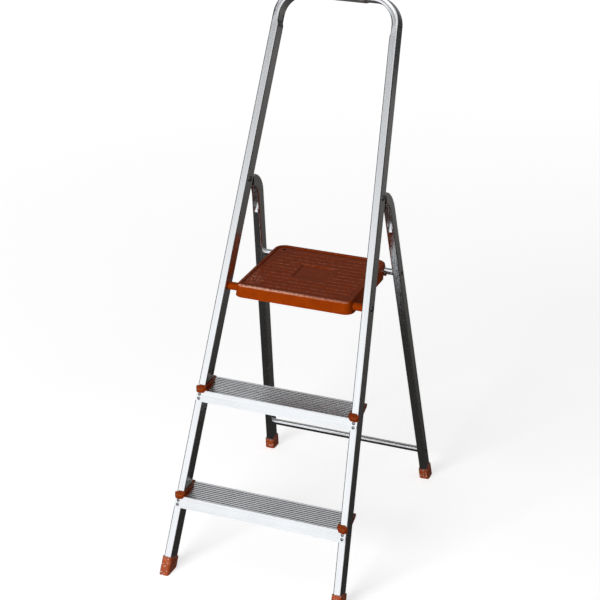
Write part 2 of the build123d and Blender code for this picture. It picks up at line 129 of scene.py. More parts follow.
def product(tree, *shares):
    """All shares multiplied together."""
    total = shares[0]
    for share in shares[1:]:
        total = compute(tree, "MULTIPLY", total, share)
    return total


def mapped(tree, value, low, high, low_result=0.0, high_result=1.0):
    """Value taken evenly from low_result at low to high_result at high, and held beyond both."""
    return add_node(
        tree, "MapRange", {0: value, 1: low, 2: high, 3: low_result, 4: high_result}
    ).outputs[0]


def mixed(tree, share, first, second):
    """Colour between a first and a second one, by a share."""
    return add_node(
        tree, "Mix", {"Factor": share, "A": first, "B": second}, data_type="RGBA"
    ).outputs["Result"]


def own_place(tree):
    """Place of a point on its object, in metres."""
    return add_node(tree, "TexCoord").outputs["Object"]


def facing(tree):
    """Direction in which the surface faces."""
    return add_node(tree, "NewGeometry").outputs["Normal"]


def axes_of(tree, vector):
    """X, Y and Z of a vector, picked by name."""
    return add_node(tree, "SeparateXYZ", {0: vector}).outputs


def from_origin(tree, place):
    """Distance of a place from the origin."""
    return add_node(tree, "VectorMath", {0: place}, operation="LENGTH").outputs["Value"]


def seen_directly(tree):
    """1 where a camera, glossy or transmission ray arrives, and 0 for light that bounces."""
    rays = add_node(tree, "LightPath").outputs
    camera_or_glossy = compute(tree, "MAXIMUM", rays["Is Camera Ray"], rays["Is Glossy Ray"])
    return compute(tree, "MAXIMUM", camera_or_glossy, rays["Is Transmission Ray"])


print("node helpers ready")

# %% [markdown]
# The studio is a pale floor under a white sky. Lit by the lamp alone, the floor would come out grey, so
# it glows as well, more so far away. A brighter lamp would whiten it too, but burn out the ladder.
# The sky is dim and the floor's glow is off for light that bounces, so the ladder keeps its shadows.

# %% World and floor
SKY_LIGHT = 0.26
FLOOR_HALF = 9.0
FLOOR_PAINT = (0.80, 0.80, 0.80, 1.0)
GLOW_NEAR = 0.62
GLOW_FAR = 0.84
GLOW_START = 1.0
GLOW_END = 5.0
scene.view_settings.view_transform = "Standard"

world = bpy.data.worlds.new("white_studio")
world.use_nodes = True
scene.world = world
sky = world.node_tree.nodes["Background"]
sky_strength = mapped(world.node_tree, seen_directly(world.node_tree), 0.0, 1.0, SKY_LIGHT, 1.0)
sky.inputs["Color"].default_value = WHITE
world.node_tree.links.new(sky_strength, sky.inputs["Strength"])


def flat_card(name, corners):
    """One rectangle from its four corners."""
    mesh = bpy.data.meshes.new(name)
    mesh.from_pydata(corners, [], [(0, 1, 2, 3)])
    card = bpy.data.objects.new(name, mesh)
    scene.collection.objects.link(card)
    return card


def level_corners(half, height):
    """Corners of a level square about the origin."""
    return [(-half, -half, height), (half, -half, height), (half, half, height), (-half, half, height)]


floor = flat_card("floor", level_corners(FLOOR_HALF, 0.0))
floor_material, tree, output = new_material("pale_floor")
floor_paint = add_node(tree, "BsdfDiffuse", {"Color": FLOOR_PAINT})
floor_distance = from_origin(tree, own_place(tree))
floor_level = mapped(tree, floor_distance, GLOW_START, GLOW_END, GLOW_NEAR, GLOW_FAR)
floor_glow = add_node(tree, "Emission", {"Strength": product(tree, seen_directly(tree), floor_level)})
floor_sum = add_node(tree, "AddShader", {0: floor_paint.outputs[0], 1: floor_glow.outputs[0]})
tree.links.new(floor_sum.outputs[0], output.inputs[0])
floor.data.materials.append(floor_material)
print("floor", 2 * FLOOR_HALF, "m wide")

# %% [markdown]
# Bare metal only looks like metal when it has something to mirror. So light and dark cards stand round
# the ladder, out of the camera's sight, as in a real studio: light ones for the fronts of the stiles
# and the treads, and dark ones for the sides, the edges and the bends. A picture of a studio wrapped
# round the sky would do it too, but a card can be moved until the right face catches it. Only shiny
# surfaces see the cards.

# %% Cards that only metal sees
CARD_AXES = {"depth": "Y", "height": "Z"}
WARM = (1.0, 0.95, 0.90, 1.0)
COOL = (0.97, 0.98, 1.0, 1.0)


def mirror_card(name, corners, tint, measure, glow_at):
    """Tinted card that glows by a measure of its own points: distance from the origin, depth or height.

    glow_at has two entries, each a measure and the glow there. Between them the glow changes evenly.
    """
    card = flat_card(name, corners)
    material, tree, output = new_material(name)
    place = own_place(tree)
    if measure == "distance":
        value = from_origin(tree, place)
    else:
        value = axes_of(tree, place)[CARD_AXES[measure]]
    (low, low_glow), (high, high_glow) = glow_at.items()
    glow = mapped(tree, value, low, high, low_glow, high_glow)
    shade = add_node(tree, "Emission", {"Color": tint, "Strength": glow})
    tree.links.new(shade.outputs[0], output.inputs[0])
    card.data.materials.append(material)
    card.visible_camera = False
    card.visible_diffuse = False
    card.visible_shadow = False
    card.visible_transmission = False


def upright_corners(start, end, low, high):
    """Corners of an upright card over a line on the floor."""
    return [(*start, low), (*end, low), (*end, high), (*start, high)]


def spanned_corners(near, far, left, right):
    """Corners of a card between a near and a far line along X; each line is a pair of Y and Z."""
    return [(left, *near), (right, *near), (right, *far), (left, *far)]


print("cards glow by", ", ".join(["distance", *CARD_AXES]))

# %% Light and dark cards
DARK_FLOOR_HALF = 8.0
DARK_FLOOR_LIFT = 0.001
RIGHT_WALL = 2.6
RIGHT_NEAR = (RIGHT_WALL, -2.4)
RIGHT_FAR = (RIGHT_WALL, 4.0)
RIGHT_TOP = 2.4
LEFT_NEAR = (-3.4, -2.7)
LEFT_FAR = (-4.6, 3.2)
LEFT_TOP = 4.0
BACK_WALL = 3.2
BACK_LEFT = -5.0
BACK_LOW = 0.2
FRONT_WALL = -2.8
FRONT_LEFT = -3.2
FRONT_RIGHT = 0.4
FRONT_LOW = 0.15
BAND_LOW = 3.1
STRIP_LOW = 3.8
CEILING = 4.6
CEILING_FRONT = -1.9

dark_floor = level_corners(DARK_FLOOR_HALF, DARK_FLOOR_LIFT)
dark_right = upright_corners(RIGHT_NEAR, RIGHT_FAR, 0.0, RIGHT_TOP)
dark_left = upright_corners(LEFT_NEAR, LEFT_FAR, 0.0, LEFT_TOP)
grey_back = upright_corners((BACK_LEFT, BACK_WALL), (RIGHT_WALL, BACK_WALL), BACK_LOW, CEILING)
front_line = ((FRONT_LEFT, FRONT_WALL), (FRONT_RIGHT, FRONT_WALL))
light_front = upright_corners(*front_line, FRONT_LOW, BAND_LOW)
dark_band = upright_corners(*front_line, BAND_LOW, STRIP_LOW)
strip_edges = ((FRONT_WALL, STRIP_LOW), (CEILING_FRONT, CEILING))
high_strip = spanned_corners(*strip_edges, FRONT_LEFT, FRONT_RIGHT)
ceiling_edges = ((CEILING_FRONT, CEILING), (BACK_WALL, CEILING))
dark_top = spanned_corners(*ceiling_edges, BACK_LEFT, RIGHT_WALL)

cards = {
    "dark_floor_card": (dark_floor, WARM, "distance", {0.4: 0.030, 3.2: 0.15}),
    "dark_right_card": (dark_right, WARM, "height", {0.0: 0.012, RIGHT_TOP: 0.024}),
    "dark_left_card": (dark_left, WARM, "height", {0.0: 0.05, LEFT_TOP: 0.05}),
    "grey_back_card": (grey_back, COOL, "height", {1.0: 0.04, 2.6: 0.70}),
    "front_left_card": (light_front, COOL, "height", {1.6: 1.32, 2.4: 0.74}),
    "dark_front_band": (dark_band, COOL, "height", {BAND_LOW: 0.08, STRIP_LOW: 0.08}),
    "high_front_strip": (high_strip, COOL, "height", {STRIP_LOW: 2.2, CEILING: 2.2}),
    "dark_top_card": (dark_top, COOL, "depth", {CEILING_FRONT: 0.90, 0.8: 0.06}),
}
for name, (corners, tint, measure, glow_at) in cards.items():
    mirror_card(name, corners, tint, measure, glow_at)
print("cards", ", ".join(cards))

# %% [markdown]
# One wide soft lamp stands low in front, a little to the left. It models the plastic and lays a soft
# shadow behind the ladder. Mirror images leave it out, because it would burn white patches into the
# stiles.

# %% Lamp
LAMP_PLACE = (-1.1, -4.2, 1.6)
LAMP_AIM = (0.0, 0.0, 0.55)
LAMP_SIZE = 2.2
LAMP_WATTS = 165.0


def soft_lamp(name, place, aim, size, power):
    """Square area lamp at a place, facing a point; mirror images leave it out."""
    data = bpy.data.lights.new(name, "AREA")
    data.shape = "SQUARE"
    data.size = size
    data.energy = power
    lamp = bpy.data.objects.new(name, data)
    scene.collection.objects.link(lamp)
    to_aim = (Vector(aim) - Vector(place)).to_track_quat("-Z", "Y")
    lamp.matrix_world = Matrix.Translation(place) @ to_aim.to_matrix().to_4x4()
    lamp.visible_glossy = False
    print(name, power, "W")


soft_lamp("key_lamp", LAMP_PLACE, LAMP_AIM, LAMP_SIZE, LAMP_WATTS)

# %% [markdown]
# Drawn aluminium carries fine lines along the tube, from the die it was pulled through. A picture could
# hold them, but a noise that is stretched far more round the tube than along it makes them at any size.
# On a swept tube the UV map knows which way is along. A solid that was extruded along an axis does with
# its own coordinates. A slower noise dulls the metal in patches where hands and weather have been. Bars,
# rivets and pins follow the same recipe, with a darker steel for the rivets and the pins.

# %% Bare metal
METAL_COLOR = (0.80, 0.81, 0.82, 1.0)
METAL_SHADE = (0.66, 0.67, 0.68, 1.0)
DULL_FROM = 0.1
DULL_TO = 0.5
LINE_STRENGTH = 0.35


def even(scale):
    """The same scale along all three axes."""
    return (scale, scale, scale)


def stretched_noise(tree, source, stretch, detail=3.0, roughness=0.6):
    """Noise on coordinates that are scaled apart by a stretch of three numbers."""
    mapping = add_node(tree, "Mapping", {"Vector": source, "Scale": stretch})
    return add_node(
        tree, "TexNoise",
        {"Vector": mapping.outputs[0], "Scale": 1.0, "Detail": detail, "Roughness": roughness},
    ).outputs[0]


def dulled(tree, streaks, patches, smooth, rough):
    """Roughness between a smooth and a rough one, by streaks times patches."""
    return mapped(tree, product(tree, streaks, patches), DULL_FROM, DULL_TO, smooth, rough)


def lay_metal(tree, output, tint, roughness, streaks, line_depth):
    """Bare metal of a tint and roughness, with its streaks as fine bump, joined to the output."""
    bump = add_node(tree, "Bump", {"Strength": LINE_STRENGTH, "Distance": line_depth, "Height": streaks})
    surface = add_node(
        tree, "BsdfPrincipled",
        {"Base Color": tint, "Metallic": 1.0, "Roughness": roughness, "Normal": bump.outputs[0]},
    )
    tree.links.new(surface.outputs[0], output.inputs[0])


print("bare metal", METAL_COLOR[:3], "to", METAL_SHADE[:3])

# %% Tube, bar, rivet and pin metal
TUBE_LINES = (900.0, 5.0, 1.0)
TUBE_PATCHES = (30.0, 9.0, 1.0)
TUBE_SMOOTH = 0.16
TUBE_ROUGH = 0.32
TUBE_LINE_DEPTH = 0.0001
# Dark tint painted close above each tread on the stiles' inner sides, as shade.
TREAD_SHADE = (0.22, 0.22, 0.21, 1.0)
SOLID_PATCHES = even(14.0)
SOLID_LINE_DEPTH = 0.0002
BAR_LINES = (5.0, 300.0, 300.0)
RIVET_GRAIN = even(300.0)
RIVET_COLOR = (0.46, 0.46, 0.47, 1.0)
RIVET_SHADE = (0.30, 0.30, 0.31, 1.0)
PIN_RINGS = (900.0, 60.0, 60.0)
PIN_COLOR = (0.17, 0.17, 0.18, 1.0)
PIN_SHADE = (0.10, 0.10, 0.11, 1.0)


def drawn_tube_material(name, shade_maker=None):
    """Tube metal whose lines follow the UV map: U is round the tube, V along it, both in metres."""
    material, tree, output = new_material(name)
    place = add_node(tree, "UVMap", uv_map="UVMap").outputs[0]
    streaks = stretched_noise(tree, place, TUBE_LINES)
    patches = stretched_noise(tree, place, TUBE_PATCHES)
    tint = mixed(tree, streaks, METAL_COLOR, METAL_SHADE)
    # A mask of painted shade, if one is given, darkens the tint.
    if shade_maker:
        tint = mixed(tree, shade_maker(tree), tint, TREAD_SHADE)
    roughness = dulled(tree, streaks, patches, TUBE_SMOOTH, TUBE_ROUGH)
    lay_metal(tree, output, tint, roughness, streaks, TUBE_LINE_DEPTH)
    return material


def solid_material(name, stretch, smooth, rough, light=METAL_COLOR, shade=METAL_SHADE):
    """Metal on object coordinates, with its lines along the axis that is stretched least."""
    material, tree, output = new_material(name)
    place = own_place(tree)
    streaks = stretched_noise(tree, place, stretch)
    patches = stretched_noise(tree, place, SOLID_PATCHES)
    tint = mixed(tree, streaks, light, shade)
    roughness = dulled(tree, streaks, patches, smooth, rough)
    lay_metal(tree, output, tint, roughness, streaks, SOLID_LINE_DEPTH)
    return material


leg_metal = drawn_tube_material("drawn_leg_aluminium")
bar_metal = solid_material("bright_bar_aluminium", BAR_LINES, smooth=0.14, rough=0.24)
rivet_metal = solid_material(
    "rivet_steel", RIVET_GRAIN, smooth=0.22, rough=0.40, light=RIVET_COLOR, shade=RIVET_SHADE
)
pin_metal = solid_material(
    "turned_pin_steel", PIN_RINGS, smooth=0.34, rough=0.50, light=PIN_COLOR, shade=PIN_SHADE
)
print("metals", leg_metal.name, bar_metal.name, rivet_metal.name, pin_metal.name)

# %% [markdown]
# The inner sides of the stiles are painted darker close above each tread: painted shade. It could be
# painted on by hand. Here it is found from three plain facts about a point: how high it is, which stile
# it is on, and which way it faces.

# %% Stile metal with painted shade above the treads
SHADE_BELOW = 0.010
SHADE_FULL = 0.022
SHADE_END = 0.045
INNER_SIDE = -0.1


def shade_above_treads(tree):
    """Share of painted shade on the inner sides of the stiles: full close above a tread, none farther
    up.

    X times the normal's X is well below zero on an inner side only. The larger of both treads' shares
    counts.
    """
    place = axes_of(tree, own_place(tree))
    inward = product(tree, place["X"], axes_of(tree, facing(tree))["X"])
    inner = compute(tree, "LESS_THAN", inward, INNER_SIDE)
    shares = []
    for tread in ("lower_tread", "upper_tread"):
        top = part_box(tread)[1][2]
        above = compute(tree, "GREATER_THAN", place["Z"], top - SHADE_BELOW)
        fade = mapped(tree, place["Z"], top + SHADE_END, top + SHADE_FULL)
        shares.append(product(tree, above, fade))
    return product(tree, compute(tree, "MAXIMUM", *shares), inner)


stile_metal = drawn_tube_material("drawn_stile_aluminium", shade_above_treads)
print("stiles", stile_metal.name)

# %% [markdown]
# The treads are extruded aluminium, ribbed against slipping. The tops of the ribs are lighter, and the
# grooves between them are painted nearly black as shade, which is what draws the fine lines on a tread
# seen from above. The ribs themselves are in the CAD model. Their finish follows from the height under
# the tread's top, so each line of painted shade lies exactly in its groove.

# %% Ribbed tread metal
RIB_LINES = (4.0, 700.0, 700.0)
RIB_COLOR = (0.95, 0.95, 0.96, 1.0)
RIB_SHADE = (0.84, 0.85, 0.86, 1.0)
RIB_SKIN = 0.00013
RIB_SMOOTH = 0.20
RIB_ROUGH = 0.36
# Near-black tint painted into the grooves as shade.
GROOVE_SHADE = (0.015, 0.015, 0.015, 1.0)
GROOVE_LEAST_SHADE = 0.94
GROOVE_ROUGH = 0.62
GROOVE_DEPTH = 0.0013
GROOVE_REACH = 0.00195
GROOVE_EDGE = 0.0005
END_FACE = 0.5
SHADE_FROM = 0.3
SHADE_TO = 0.7


def groove_span(node, top):
    """Y of the first and the last edge of a tread's grooves, from the corners at the grooves' depth."""
    places = np.empty(3 * len(node.data.vertices))
    node.data.vertices.foreach_get("co", places)
    places = places.reshape(-1, 3)
    at_floor = np.abs(places[:, 2] - (top - GROOVE_DEPTH)) < RIB_SKIN
    return float(places[at_floor, 1].min()), float(places[at_floor, 1].max())


def groove_mask(tree, place, top, first, last):
    """1 in a tread's grooves, and 0 elsewhere.

    A point is in a groove if it lies under the tread's topmost skin, within reach of the grooves' depth,
    and between the first and the last groove's edge. The cut ends, which face along X, stay clean.
    """
    axes = axes_of(tree, place)
    sideways = compute(tree, "ABSOLUTE", axes_of(tree, facing(tree))["X"])
    return product(
        tree,
        compute(tree, "LESS_THAN", axes["Z"], top - RIB_SKIN),
        compute(tree, "GREATER_THAN", axes["Z"], top - GROOVE_REACH),
        compute(tree, "GREATER_THAN", axes["Y"], first - GROOVE_EDGE),
        compute(tree, "LESS_THAN", axes["Y"], last + GROOVE_EDGE),
        compute(tree, "LESS_THAN", sideways, END_FACE),
    )


def ribbed_tread_material(name, node_name):
    """Extruded metal with bright rib tops, in the tread's topmost skin, and dull painted shade in the
    grooves.
    """
    material, tree, output = new_material(name)
    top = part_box(node_name)[1][2]
    first, last = groove_span(frame["nodes"][node_name], top)
    place = own_place(tree)
    streaks = stretched_noise(tree, place, RIB_LINES)
    patches = stretched_noise(tree, place, SOLID_PATCHES)
    on_rib = compute(tree, "GREATER_THAN", axes_of(tree, place)["Z"], top - RIB_SKIN)
    # Painted shade in the grooves, varied a little by patches.
    shade_share = mapped(tree, patches, SHADE_FROM, SHADE_TO, GROOVE_LEAST_SHADE, 1.0)
    shaded = product(tree, groove_mask(tree, place, top, first, last), shade_share)
    plain = mixed(tree, streaks, METAL_COLOR, METAL_SHADE)
    bright = mixed(tree, streaks, RIB_COLOR, RIB_SHADE)
    tint = mixed(tree, shaded, mixed(tree, on_rib, plain, bright), GROOVE_SHADE)
    polish = dulled(tree, streaks, patches, RIB_SMOOTH, RIB_ROUGH)
    roughness = mapped(tree, shaded, 0.0, 1.0, polish, GROOVE_ROUGH)
    lay_metal(tree, output, tint, roughness, streaks, SOLID_LINE_DEPTH)
    return material


lower_tread_metal = ribbed_tread_material("lower_tread_aluminium", "lower_tread")
upper_tread_metal = ribbed_tread_material("upper_tread_aluminium", "upper_tread")
print("treads", lower_tread_metal.name, upper_tread_metal.name)

# %% [markdown]
# The plastic is one rust brown moulding compound. Close up it has the fine grain of the mould, slow
# changes of tone, and edges that have worn lighter. The wear compares the true normal with one that is
# rounded over a small radius: they only differ near an edge. Vertex paint could mark the edges too, but
# it would need a finer mesh.

# %% Moulded plastic
TONE_CLOUDS = even(35.0)
TONE_FROM = 0.35
TONE_TO = 0.65
BEVEL_SAMPLES = 4
LIKENESS_ON_FLAT = 0.99
LIKENESS_AT_EDGE = 0.86
WEAR_SPOTS = even(220.0)
WEAR_FROM = 0.45
WEAR_TO = 0.65
GRAIN_FROM = 0.3
GRAIN_TO = 0.7
GRAIN_ROUGHER = 0.14
GRAIN_STRENGTH = 0.20
GRAIN_DEPTH = 0.0001
# Near-black tint painted inside the platform's holes as shade.
HOLE_SHADE = (0.012, 0.004, 0.002, 1.0)


def edge_wear_mask(tree, place, edge_radius, edge_wear):
    """Share of wear: how far a normal differs from the one rounded over a radius, times spots."""
    rounded = add_node(tree, "Bevel", {"Radius": edge_radius}, samples=BEVEL_SAMPLES).outputs[0]
    likeness = add_node(tree, "VectorMath", {0: facing(tree), 1: rounded}, operation="DOT_PRODUCT")
    edge = mapped(tree, likeness.outputs["Value"], LIKENESS_ON_FLAT, LIKENESS_AT_EDGE)
    spots = stretched_noise(tree, place, WEAR_SPOTS, detail=4.0)
    return product(tree, edge, mapped(tree, spots, WEAR_FROM, WEAR_TO, 0.0, edge_wear))


def plastic_material(
    name, dark, light, pale_mark_color, grain_scale, gloss, edge_radius, edge_wear, extra_pale_marks=None, painted_shade=None,
    specular=0.5, gloss_tint=WHITE,
):
    """Grained plastic in two tones, with lighter worn edges.

    One extra mask adds pale marks, painted highlights among them, and one more says where the plastic is
    painted nearly black as shade.
    """
    material, tree, output = new_material(name)
    place = own_place(tree)
    clouds = stretched_noise(tree, place, TONE_CLOUDS, detail=4.0)
    grain = stretched_noise(tree, place, even(grain_scale), detail=2.0)
    base = mixed(tree, mapped(tree, clouds, TONE_FROM, TONE_TO), dark, light)
    pale_marks = edge_wear_mask(tree, place, edge_radius, edge_wear)
    # Edge wear, plus extra pale marks that can be painted highlights and glints.
    if extra_pale_marks:
        pale_marks = compute(tree, "MAXIMUM", pale_marks, extra_pale_marks(tree, place))
    paint = mixed(tree, pale_marks, base, pale_mark_color)
    # Painted shade, nearly black, where a mask says so.
    if painted_shade:
        paint = mixed(tree, painted_shade(tree, place), paint, HOLE_SHADE)
    roughness = mapped(tree, grain, GRAIN_FROM, GRAIN_TO, gloss, gloss + GRAIN_ROUGHER)
    bump = add_node(tree, "Bump", {"Strength": GRAIN_STRENGTH, "Distance": GRAIN_DEPTH, "Height": grain})
    surface = add_node(
        tree, "BsdfPrincipled",
        {"Base Color": paint, "Roughness": roughness, "Normal": bump.outputs[0],
         "Specular IOR Level": specular, "Specular Tint": gloss_tint},
    )
    tree.links.new(surface.outputs[0], output.inputs[0])
    return material


print("plastic grain", 1000 * GRAIN_DEPTH, "mm deep")

# %% [markdown]
# A few marks are painted into the plastic. The platform's front rim has a painted highlight, stronger to
# the left, and its left front corner has painted glints. The feet are flecked pale, partly with scuffs
# from the floor and partly with painted glints, and the two round holes behind are painted dark inside
# as shade. Each mark is a mask from 0 to 1, made from a point's place and from noise, that is handed to
# the plastic's recipe.

# %% Painted highlights, glints, pale flecks and painted shade
FLECK_NOISE = even(260.0)
FLECK_EDGE = 0.06
LEVEL = (1.0, 1.0, 0.0)
RIM_BACK = 0.0105
RIM_FRONT = 0.0075
RIM_UNDER = 0.0045
RIM_TOP = 0.0025
# The rim's painted highlight is faintest at the right and strongest at the left.
DIMMEST_RIM_X = 0.12
BRIGHTEST_RIM_X = -0.06
LEAST_RIM_GLEAM = 0.35
RIM_BREAK_NOISE = (160.0, 400.0, 400.0)
RIM_BREAK_FROM = 0.36
RIM_BREAK_TO = 0.52
# Pale flecks are painted round this place as glints.
GLINT_PLACE = (-0.114, -0.020, 0.0)
GLINT_NEAR = 0.012
GLINT_FAR = 0.034
GLINT_STRENGTH = 0.55
GLINT_FLECKS = 0.56
FOOT_FLECKS = 0.60
HOLE_PLACE = (0.1125, 0.16389, 0.0)
HOLE_REACH = 0.0048
HOLE_WALL = 0.5


def fleck_mask(tree, place, share):
    """1 in small scattered flecks; the share says how far the noise must rise to make one."""
    flecks = stretched_noise(tree, place, FLECK_NOISE, detail=2.0)
    return mapped(tree, flecks, share, share + FLECK_EDGE)


def foot_flecks(tree, place):
    """Pale flecks all over a foot: scuffs, and painted glints."""
    return fleck_mask(tree, place, FOOT_FLECKS)


def level_distance(tree, place, centre):
    """Distance from a centre, measured on the level: heights don't count."""
    level = add_node(tree, "VectorMath", {0: place, 1: LEVEL}, operation="MULTIPLY").outputs[0]
    return add_node(tree, "VectorMath", {0: level, 1: centre}, operation="DISTANCE").outputs["Value"]


def painted_rim_highlight(tree, place):
    """1 on the platform's front rim, more to the left: a painted highlight on the rim's rounded edge.

    The rim is what lies high enough and far enough forward. A slow noise along X breaks it up. Pale
    flecks round one place near the left front corner, painted glints, are added to it.
    """
    axes = axes_of(tree, place)
    low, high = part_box("platform")
    forward = mapped(tree, axes["Y"], low[1] + RIM_BACK, low[1] + RIM_FRONT)
    raised = mapped(tree, axes["Z"], high[2] - RIM_UNDER, high[2] - RIM_TOP)
    leftward = mapped(tree, axes["X"], DIMMEST_RIM_X, BRIGHTEST_RIM_X, LEAST_RIM_GLEAM, 1.0)
    broken_up = mapped(tree, stretched_noise(tree, place, RIM_BREAK_NOISE), RIM_BREAK_FROM, RIM_BREAK_TO)
    rim_gleam = product(tree, product(tree, forward, raised), product(tree, leftward, broken_up))
    away = level_distance(tree, place, GLINT_PLACE)
    near = mapped(tree, away, GLINT_FAR, GLINT_NEAR, 0.0, GLINT_STRENGTH)
    corner_glints = product(tree, near, fleck_mask(tree, place, GLINT_FLECKS))
    return compute(tree, "MAXIMUM", rim_gleam, corner_glints)


def hole_shade(tree, place):
    """1 on the walls of the platform's two round holes, painted nearly black as shade: near a hole's
    axis, where a wall is upright.
    """
    mirrored = add_node(tree, "VectorMath", {0: place}, operation="ABSOLUTE").outputs[0]
    inside = compute(tree, "LESS_THAN", level_distance(tree, mirrored, HOLE_PLACE), HOLE_REACH)
    upright = compute(tree, "LESS_THAN", axes_of(tree, facing(tree))["Z"], HOLE_WALL)
    return product(tree, inside, upright)


print("scuff at", GLINT_PLACE[:2], "holes at", HOLE_PLACE[:2], "and mirrored")

# %% [markdown]
# The platform, the liners and the feet share the rust brown, in slightly different tones: each comes
# from its own mould, and the feet are the most worn. The hinge eyes are a dark plastic and the boss
# bushes a pale one. One recipe with other numbers serves them all.

# %% Plastics of the ladder
WARM_GLOSS = (1.0, 0.72, 0.40, 1.0)
RUST_DARK = (0.240, 0.030, 0.0005, 1.0)
RUST_LIGHT = (0.290, 0.039, 0.001, 1.0)
# Pale rust for worn edges; on the platform it is also the colour of the painted rim highlight and
# glints.
RUST_WEAR_AND_HIGHLIGHT = (0.68, 0.36, 0.26, 1.0)
LINER_DARK = (0.185, 0.022, 0.0005, 1.0)
LINER_LIGHT = (0.235, 0.031, 0.001, 1.0)
FOOT_LIGHT = (0.38, 0.062, 0.006, 1.0)
# Pale colour of the feet's worn edges and flecks; the flecks are partly scuffs and partly painted
# glints.
FOOT_WEAR_AND_GLINT = (0.78, 0.62, 0.55, 1.0)
EYE_DARK = (0.012, 0.012, 0.013, 1.0)
EYE_LIGHT = (0.025, 0.025, 0.026, 1.0)
EYE_WORN = (0.08, 0.08, 0.08, 1.0)
BUSH_DARK = (0.48, 0.46, 0.40, 1.0)
BUSH_LIGHT = (0.58, 0.56, 0.50, 1.0)
BUSH_WORN = (0.66, 0.65, 0.60, 1.0)

platform_plastic = plastic_material(
    "rust_platform_plastic", RUST_DARK, RUST_LIGHT, RUST_WEAR_AND_HIGHLIGHT,
    grain_scale=1100.0, gloss=0.20, edge_radius=0.0018, edge_wear=0.35,
    extra_pale_marks=painted_rim_highlight, painted_shade=hole_shade, specular=0.04, gloss_tint=WARM_GLOSS,
)
liner_plastic = plastic_material(
    "rust_liner_plastic", LINER_DARK, LINER_LIGHT, RUST_WEAR_AND_HIGHLIGHT,
    grain_scale=1400.0, gloss=0.22, edge_radius=0.0012, edge_wear=0.6,
    specular=0.25, gloss_tint=WARM_GLOSS,
)
foot_plastic = plastic_material(
    "rust_foot_plastic", RUST_LIGHT, FOOT_LIGHT, FOOT_WEAR_AND_GLINT,
    grain_scale=700.0, gloss=0.28, edge_radius=0.0016, edge_wear=0.6,
    extra_pale_marks=foot_flecks, specular=0.36,
)
eye_plastic = plastic_material(
    "dark_eye_plastic", EYE_DARK, EYE_LIGHT, EYE_WORN,
    grain_scale=1200.0, gloss=0.40, edge_radius=0.0006, edge_wear=0.8,
)
bush_plastic = plastic_material(
    "pale_bush_plastic", BUSH_DARK, BUSH_LIGHT, BUSH_WORN,
    grain_scale=1200.0, gloss=0.36, edge_radius=0.0005, edge_wear=0.8,
)
print("plastics", platform_plastic.name, liner_plastic.name, foot_plastic.name)

# %% [markdown]
# Most CAD nodes have the right shape already, so they only get their finish. Left and right pieces
# share it, and a table from the end of a name to a material is enough.

# %% Finishes of the CAD nodes
node_finish = {
    "platform": platform_plastic,
    "tread_liner": liner_plastic,
    "front_foot": foot_plastic,
    "rear_foot": foot_plastic,
    "hinge_eye": eye_plastic,
    "boss_bush": bush_plastic,
    "rivets": rivet_metal,
    "pin": pin_metal,
    "rear_bar": bar_metal,
    "lower_tread": lower_tread_metal,
    "upper_tread": upper_tread_metal,
    "front_frame_tube": stile_metal,
    "rear_leg": leg_metal,
}
for node_name, node in frame["nodes"].items():
    finish = next(value for ending, value in node_finish.items() if node_name.endswith(ending))
    node.data.materials.clear()
    node.data.materials.append(finish)
print("finishes on", len(frame["nodes"]), "nodes")

# %% [markdown]
# The front frame and the rear legs are made anew, because bending has left marks in them that the plain
# solids don't have. A tube is a profile carried along a path. The profile is a rectangle with rounded
# corners, and its flats have a few points as well, so that a wall can be pushed in later. A curve with
# a bevel would give the tube, but not the pushed wall. The path is written as a heading: it stays the
# same on a straight run and turns evenly in a bend. Adding up the chords between its stations gives
# exact arcs with no corner in them.

# %% Profile and path
CORNER_STEPS = 5
FLAT_STEPS = 8
FLAT_MARGIN = 0.0005
SIDE_POINTS = CORNER_STEPS + FLAT_STEPS + 2
RUN_STEP = 0.004
BEND_STEP = 0.0016
STATION_DIGITS = 7


def tube_profile(height, width, corner):
    """Closed profile of a rounded rectangle, anticlockwise, and the distance round it at each point.

    A corner's points are its centre plus the radius times (cos, sin) of an angle that runs through a
    quarter turn. The flat after it is divided evenly between two points close to its ends.
    """
    angle = np.linspace(0.0, math.pi / 2, CORNER_STEPS + 1)
    quarter = np.arange(4)[:, None] * math.pi / 2
    centre = np.array([(1, 1), (-1, 1), (-1, -1), (1, -1)]) * (height / 2 - corner, width / 2 - corner)
    around = np.stack([np.cos(quarter + angle), np.sin(quarter + angle)], axis=-1)
    arcs = centre[:, None, :] + corner * around
    flat_start = arcs[:, -1]
    flat_end = np.roll(arcs[:, 0], -1, axis=0)
    flat = flat_end - flat_start
    margin = FLAT_MARGIN / np.linalg.norm(flat, axis=1)[:, None]
    share = margin + (1 - 2 * margin) * np.linspace(0.0, 1.0, FLAT_STEPS + 1)
    flats = flat_start[:, None, :] + share[:, :, None] * flat[:, None, :]
    profile = np.concatenate([arcs, flats], axis=1).reshape(-1, 2)
    gaps = np.linalg.norm(np.roll(profile, -1, axis=0) - profile, axis=1)
    return profile, np.concatenate([[0.0], np.cumsum(gaps)])


